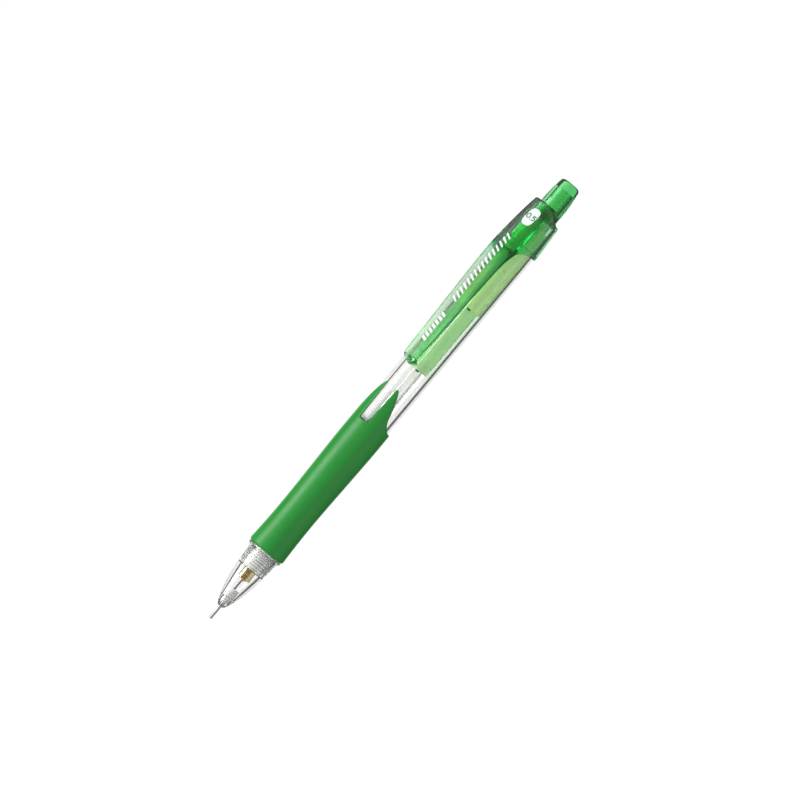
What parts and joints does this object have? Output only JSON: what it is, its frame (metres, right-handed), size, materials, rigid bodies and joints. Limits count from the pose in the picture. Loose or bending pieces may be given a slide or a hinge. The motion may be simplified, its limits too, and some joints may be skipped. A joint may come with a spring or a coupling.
{
  "type": "mechanical pencil",
  "caption": "Click pencil with a sliding metal tip sleeve, clear cone and barrel, rubber grip, lead tank, moulded pocket clip and push knob.",
  "frame": {"origin": "centre of the lead sleeve's front end, on the pencil's axis", "axes": "+X along the axis from the tip to the push knob, +Z towards the clip, +Y across"},
  "size_m": [0.1463, 0.011, 0.014],
  "materials": {
    "steel": "fine drawn steel",
    "brass": "turned brass",
    "graphite": "satin graphite",
    "pale_plastic": "white translucent moulding",
    "natural_plastic": "natural translucent plastic",
    "dark_rubber": "soft black rubber",
    "clear_plastic": "clear gloss moulding",
    "green_tank": "pale green translucent plastic",
    "lime_plastic": "yellow-green translucent plastic",
    "green_rubber": "matte moulded rubber",
    "green_plastic": "green translucent gloss moulding",
    "eraser_white": "soft white eraser"
  },
  "bodies": {
    "barrel_body": {"barrel": "clear_plastic", "grip": "green_rubber", "clutch_seat": "pale_plastic", "guide_bush": "lime_plastic", "cap_clip": "green_plastic"},
    "feed": {"chuck": "brass", "feed_spring": "steel", "lead_tube": "natural_plastic", "lead_tank": "green_tank", "eraser_holder": "natural_plastic", "eraser": "eraser_white"},
    "ring": {"clutch_ring": "brass"},
    "lead": {"writing_lead": "graphite"},
    "cone": {"tip_cone": "clear_plastic"},
    "slider": {"sleeve_slider": "pale_plastic", "lead_sleeve": "steel", "lead_retainer": "dark_rubber"},
    "knob": {"push_knob": "green_plastic"}
  },
  "joints": [
    {"name": "knob_press", "type": "slide", "parent": "barrel_body", "child": "feed", "axis": [-1, 0, 0], "range_m": [0, 0.0025], "stiffness_N_per_m": 400, "springref_m": -0.001, "deforming": ["feed_spring"]},
    {"name": "ring_follow", "type": "slide", "parent": "barrel_body", "child": "ring", "axis": [-1, 0, 0], "range_m": [0, 0.000625]},
    {"name": "lead_feed", "type": "slide", "parent": "barrel_body", "child": "lead", "axis": [-1, 0, 0], "range_m": [0, 0.000625]},
    {"name": "cone_removal", "type": "slide", "parent": "barrel_body", "child": "cone", "axis": [-1, 0, 0], "range_m": [0, 0.014]},
    {"name": "sleeve_retract", "type": "slide", "parent": "cone", "child": "slider", "axis": [1, 0, 0], "range_m": [0, 0.0026]},
    {"name": "knob_removal", "type": "slide", "parent": "feed", "child": "knob", "axis": [1, 0, 0], "range_m": [0, 0.008]}
  ],
  "couplings": [
    {"joint": "ring_follow", "follows": "knob_press", "ratio": 0.25},
    {"joint": "lead_feed", "follows": "knob_press", "ratio": 0.25}
  ]
}
